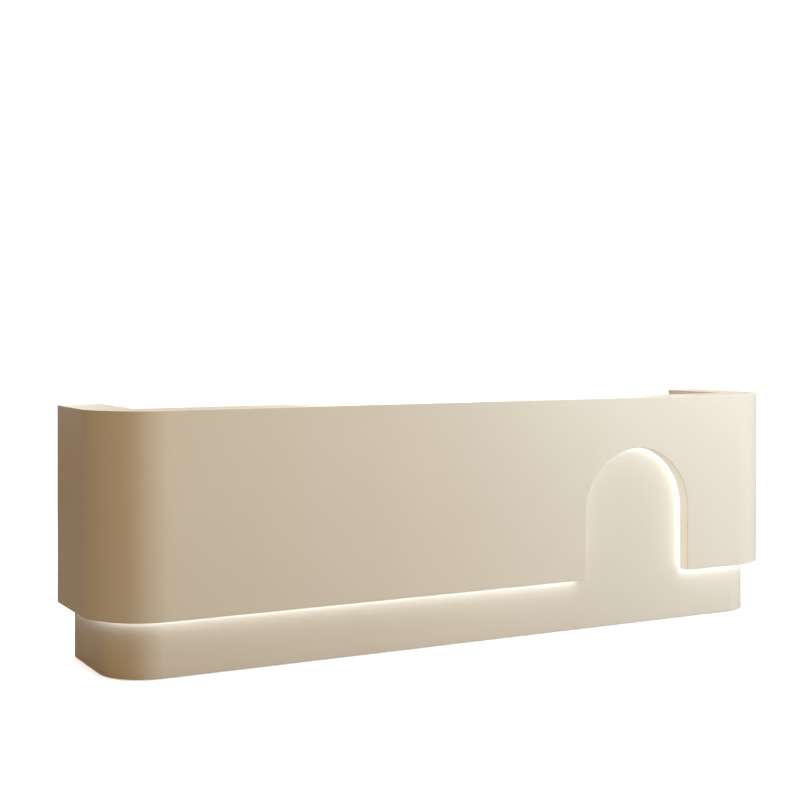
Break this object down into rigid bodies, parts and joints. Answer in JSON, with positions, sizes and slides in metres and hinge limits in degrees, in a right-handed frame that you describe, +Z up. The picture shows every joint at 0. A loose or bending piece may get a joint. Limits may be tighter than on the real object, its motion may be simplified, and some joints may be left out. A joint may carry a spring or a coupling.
{
  "type": "checkout counter",
  "caption": "Long cream lacquered checkout counter with rounded corners, a set-back plinth with hidden light, a lit arch recess, and drawers and a cupboard on the staff side.",
  "frame": {"origin": "on the floor under the middle of the counter's plan outline", "axes": "+X along the counter to the customer's right as they face it, +Y from the customer's side towards the staff, +Z up"},
  "size_m": [3.54, 0.642, 1.1],
  "materials": {
    "cream_lacquer": "satin cream lacquer on MDF board",
    "white_melamine": "warm white melamine board",
    "birch_ply": "birch plywood, clear lacquer",
    "softwood": "planed softwood",
    "zinc_steel": "bright zinc plated steel",
    "satin_steel": "satin nickel",
    "aluminium": "anodised, satin",
    "opal_diffuser": "opal diffuser, lit warm white",
    "black_plastic": "black moulded plastic",
    "white_plastic": "white moulded plastic",
    "red_plastic": "red moulded plastic",
    "cable_sheath": "black cable sheath"
  },
  "bodies": {
    "carcass": {"front_fascia": "cream_lacquer", "left_fascia": "cream_lacquer", "right_fascia": "cream_lacquer", "front_ledge": "cream_lacquer", "left_ledge": "cream_lacquer", "right_ledge": "cream_lacquer", "front_plinth": "cream_lacquer", "left_plinth": "cream_lacquer", "right_plinth": "cream_lacquer", "arch_liner": "cream_lacquer", "overhang_soffit": "cream_lacquer", "left_wing_end": "cream_lacquer", "right_wing_end": "cream_lacquer", "front_lining": "white_melamine", "left_lining": "white_melamine", "right_lining": "white_melamine", "wall_studs": "softwood", "spacer_ribs": "birch_ply", "left_worktop": "white_melamine", "right_worktop": "white_melamine", "cable_grommets": "black_plastic", "arch_led_profile": "aluminium", "arch_led_diffuser": "opal_diffuser", "plinth_led_profiles": "aluminium", "plinth_led_diffusers": "opal_diffuser", "led_driver": "white_plastic", "led_wiring": "cable_sheath", "power_box": "black_plastic", "levelling_feet": "black_plastic", "floor_brackets": "zinc_steel", "divider_panels": "white_melamine", "cabinet_bottoms": "white_melamine", "toe_kicks": "cream_lacquer", "shelves": "white_melamine", "shelf_pins": "zinc_steel", "slide_rails": "zinc_steel", "hinge_frame_leaves": "satin_steel"},
    "top_drawer": {"top_drawer_front": "cream_lacquer", "top_drawer_box": "birch_ply", "top_drawer_handle": "satin_steel", "top_drawer_runners": "zinc_steel", "drawer_lock": "satin_steel"},
    "lock_core": {"lock_plug": "aluminium"},
    "middle_drawer": {"middle_drawer_front": "cream_lacquer", "middle_drawer_box": "birch_ply", "middle_drawer_handle": "satin_steel", "middle_drawer_runners": "zinc_steel"},
    "bottom_drawer": {"bottom_drawer_front": "cream_lacquer", "bottom_drawer_box": "birch_ply", "bottom_drawer_handle": "satin_steel", "bottom_drawer_runners": "zinc_steel"},
    "left_cupboard_door": {"left_door": "cream_lacquer", "left_door_handle": "satin_steel", "left_hinge_leaves": "satin_steel"},
    "right_cupboard_door": {"right_door": "cream_lacquer", "right_door_handle": "satin_steel", "right_hinge_leaves": "satin_steel"},
    "keyboard_slide": {"keyboard_tray": "white_melamine", "tray_runners": "zinc_steel"},
    "switch_rocker": {"rocker_switch": "red_plastic"}
  },
  "joints": [
    {"name": "top_drawer_slide", "type": "slide", "parent": "carcass", "child": "top_drawer", "axis": [0, 1, 0], "range_m": [0, 0.28]},
    {"name": "middle_drawer_slide", "type": "slide", "parent": "carcass", "child": "middle_drawer", "axis": [0, 1, 0], "range_m": [0, 0.28]},
    {"name": "bottom_drawer_slide", "type": "slide", "parent": "carcass", "child": "bottom_drawer", "axis": [0, 1, 0], "range_m": [0, 0.28]},
    {"name": "drawer_lock_turn", "type": "hinge", "parent": "top_drawer", "child": "lock_core", "pos_m": [-1.188, 0.282, 0.722], "axis": [0, 1, 0], "range_deg": [0, 90]},
    {"name": "left_door_hinge", "type": "hinge", "parent": "carcass", "child": "left_cupboard_door", "pos_m": [-0.062, 0.272, 0.4175], "axis": [0, 0, 1], "range_deg": [0, 95]},
    {"name": "right_door_hinge", "type": "hinge", "parent": "carcass", "child": "right_cupboard_door", "pos_m": [0.882, 0.272, 0.4175], "axis": [0, 0, -1], "range_deg": [0, 95]},
    {"name": "keyboard_tray_slide", "type": "slide", "parent": "carcass", "child": "keyboard_slide", "axis": [0, 1, 0], "range_m": [0, 0.24]},
    {"name": "switch_rock", "type": "hinge", "parent": "carcass", "child": "switch_rocker", "pos_m": [-1.05, 0.28, 0.735], "axis": [1, 0, 0], "range_deg": [-16, 0]}
  ]
}
